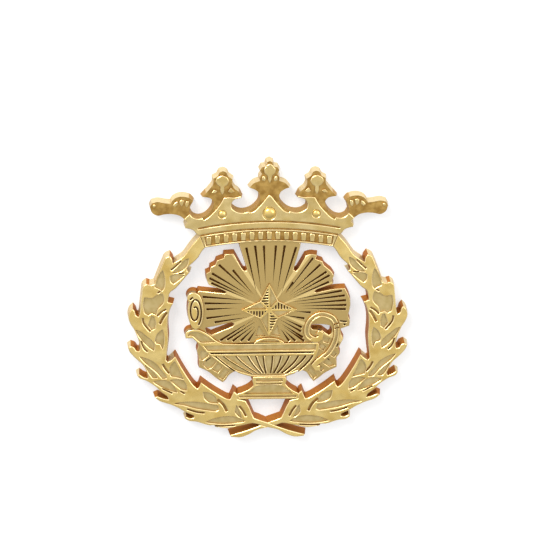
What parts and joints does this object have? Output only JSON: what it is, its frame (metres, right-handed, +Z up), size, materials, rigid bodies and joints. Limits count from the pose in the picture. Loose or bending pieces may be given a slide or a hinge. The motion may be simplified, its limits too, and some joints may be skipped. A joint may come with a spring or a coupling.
{
  "type": "cap badge",
  "caption": "Pierced gilt cap badge: crown, leaf wreath, sunburst, star, oil lamp and parchment, with screw posts and nuts behind.",
  "frame": {"origin": "on the flat back face of the sunburst, on the centre line of the badge, near its middle height", "axes": "+X to the right as the front is seen, +Y from the front to the back, +Z up towards the crown"},
  "size_m": [0.0448, 0.0099, 0.0461],
  "materials": {
    "gilt": "gilt, polished on the lands and matt in the fields",
    "fittings": "turned brass"
  },
  "bodies": {
    "badge": {"crown": "gilt", "crown_bosses": "gilt", "left_branch": "gilt", "right_branch": "gilt", "sunburst": "gilt", "star": "gilt", "parchment_scroll": "gilt", "lamp_bowl": "gilt", "lamp_lid": "gilt", "lamp_foot": "gilt", "lamp_handle": "gilt", "crown_post": "fittings", "left_post": "fittings", "right_post": "fittings", "crown_flange": "fittings", "left_flange": "fittings", "right_flange": "fittings"},
    "crown_washer": {"crown_washer": "fittings"},
    "crown_nut": {"crown_nut": "fittings"},
    "left_washer": {"left_washer": "fittings"},
    "left_nut": {"left_nut": "fittings"},
    "right_washer": {"right_washer": "fittings"},
    "right_nut": {"right_nut": "fittings"}
  },
  "joints": [
    {"name": "crown_washer_slide", "type": "slide", "parent": "badge", "child": "crown_washer", "axis": [0, 1, 0], "range_m": [0, 0.004]},
    {"name": "crown_nut_spin", "type": "hinge", "parent": "crown_washer", "child": "crown_nut", "pos_m": [0, 0.0039, 0.0129], "axis": [0, 1, 0], "range_deg": [0, 3600]},
    {"name": "left_washer_slide", "type": "slide", "parent": "badge", "child": "left_washer", "axis": [0, 1, 0], "range_m": [0, 0.004]},
    {"name": "left_nut_spin", "type": "hinge", "parent": "left_washer", "child": "left_nut", "pos_m": [-0.011, 0.0039, -0.018], "axis": [0, 1, 0], "range_deg": [0, 3600]},
    {"name": "right_washer_slide", "type": "slide", "parent": "badge", "child": "right_washer", "axis": [0, 1, 0], "range_m": [0, 0.004]},
    {"name": "right_nut_spin", "type": "hinge", "parent": "right_washer", "child": "right_nut", "pos_m": [0.011, 0.0039, -0.018], "axis": [0, 1, 0], "range_deg": [0, 3600]}
  ],
  "couplings": [
    {"joint": "crown_nut_spin", "follows": "crown_washer_slide", "rad_per_m": 15708},
    {"joint": "left_nut_spin", "follows": "left_washer_slide", "rad_per_m": 15708},
    {"joint": "right_nut_spin", "follows": "right_washer_slide", "rad_per_m": 15708}
  ]
}
